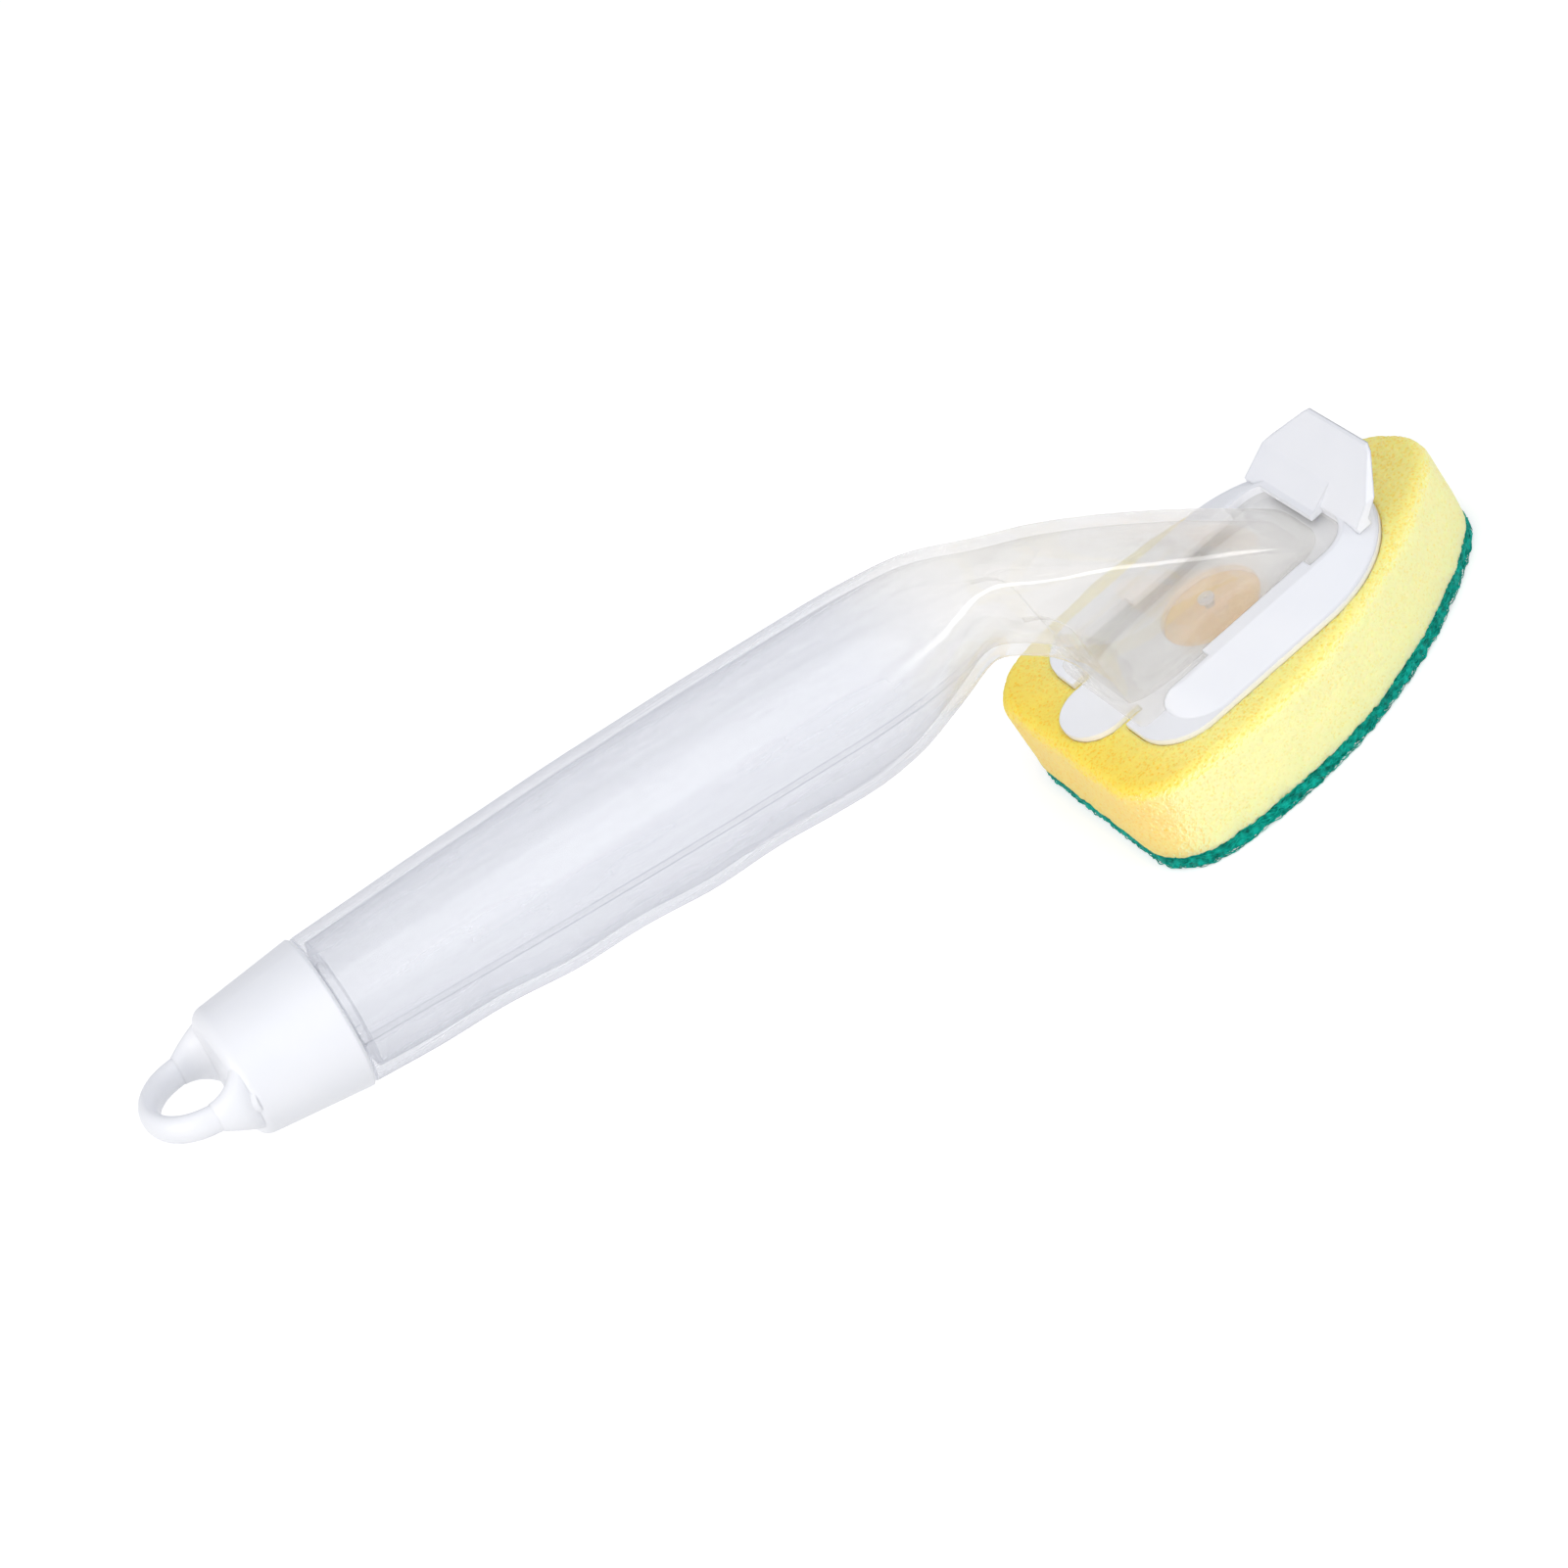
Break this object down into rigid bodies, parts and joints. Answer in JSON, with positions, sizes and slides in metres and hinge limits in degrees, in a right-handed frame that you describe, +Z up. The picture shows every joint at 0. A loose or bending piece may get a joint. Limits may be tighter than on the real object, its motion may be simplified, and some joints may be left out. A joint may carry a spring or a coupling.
{
  "type": "dish wand",
  "caption": "Refillable dish wand: clear hollow soap handle with screw cap and hanging loop, wedge head, and a clip-on foam sponge refill with a scouring pad.",
  "frame": {"origin": "on the scouring face, straight below the soap outlet", "axes": "+X forward towards the thumb tab, +Y left, +Z up out of the sponge; the handle runs back along -X and rises"},
  "size_m": [0.2838, 0.0728, 0.1086],
  "materials": {
    "clear_plastic": "water-clear gloss",
    "white_plastic": "satin white",
    "silicone": "translucent soft",
    "gasket_rubber": "matte",
    "yellow_foam": "open-cell foam",
    "green_scourer": "coarse fibre web"
  },
  "bodies": {
    "handle": {"handle_upper_shell": "clear_plastic", "handle_lower_shell": "clear_plastic", "outlet_valve": "silicone"},
    "refill": {"refill_plate": "white_plastic", "sponge": "yellow_foam", "scour_pad": "green_scourer"},
    "gasket": {"cap_gasket": "gasket_rubber"},
    "cap": {"end_cap": "white_plastic"}
  },
  "joints": [
    {"name": "refill_slide", "type": "slide", "parent": "handle", "child": "refill", "axis": [1, 0, 0], "range_m": [0, 0.04]},
    {"name": "cap_lift", "type": "slide", "parent": "handle", "child": "gasket", "axis": [-0.9809, 0, 0.1947], "range_m": [0, 0.006]},
    {"name": "cap_turn", "type": "hinge", "parent": "gasket", "child": "cap", "pos_m": [-0.1872, 0, 0.0907], "axis": [-0.9809, 0, 0.1947], "range_deg": [0, 540]}
  ],
  "couplings": [
    {"joint": "cap_lift", "follows": "cap_turn", "m_per_rad": 0.0006366}
  ]
}
